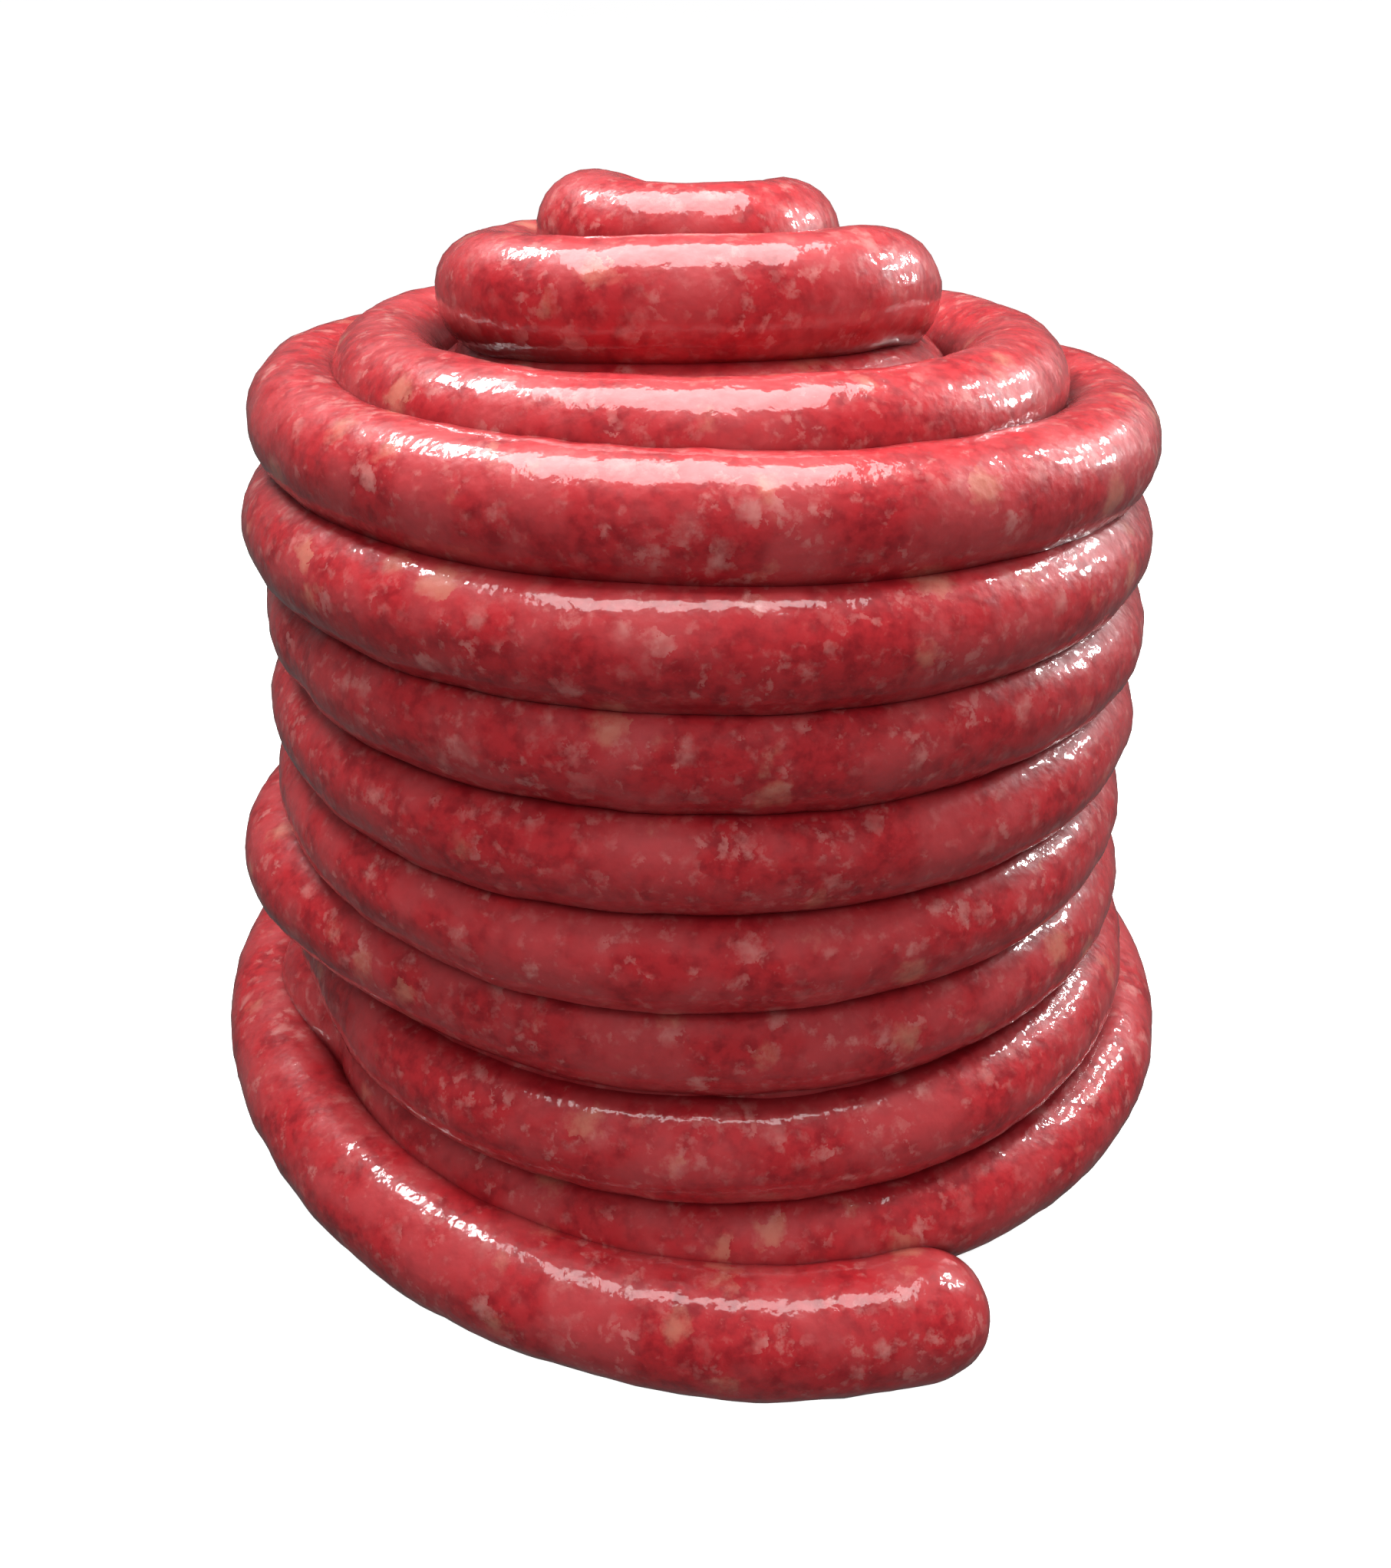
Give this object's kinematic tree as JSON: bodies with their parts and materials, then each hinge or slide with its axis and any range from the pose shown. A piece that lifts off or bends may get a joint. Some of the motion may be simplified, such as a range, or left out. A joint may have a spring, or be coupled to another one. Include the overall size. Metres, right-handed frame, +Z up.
{
  "type": "coiled rope of raw sausage",
  "caption": "Long unlinked rope of fresh raw sausage in casing, wound into a round tower that spirals in on top, with one loose end lying at the foot.",
  "frame": {"origin": "centre of the part's box on the surface that it stands on", "axes": "+Z up; +X to the right and -Y towards the viewer who has the loose end in front"},
  "size_m": [0.338, 0.342, 0.2895],
  "materials": {
    "raw_sausage": "wet raw meat in a thin glossy casing, dark red with pale pink flecks of fat"
  },
  "bodies": {
    "root": {"sausage_rope": "raw_sausage"}
  },
  "joints": []
}
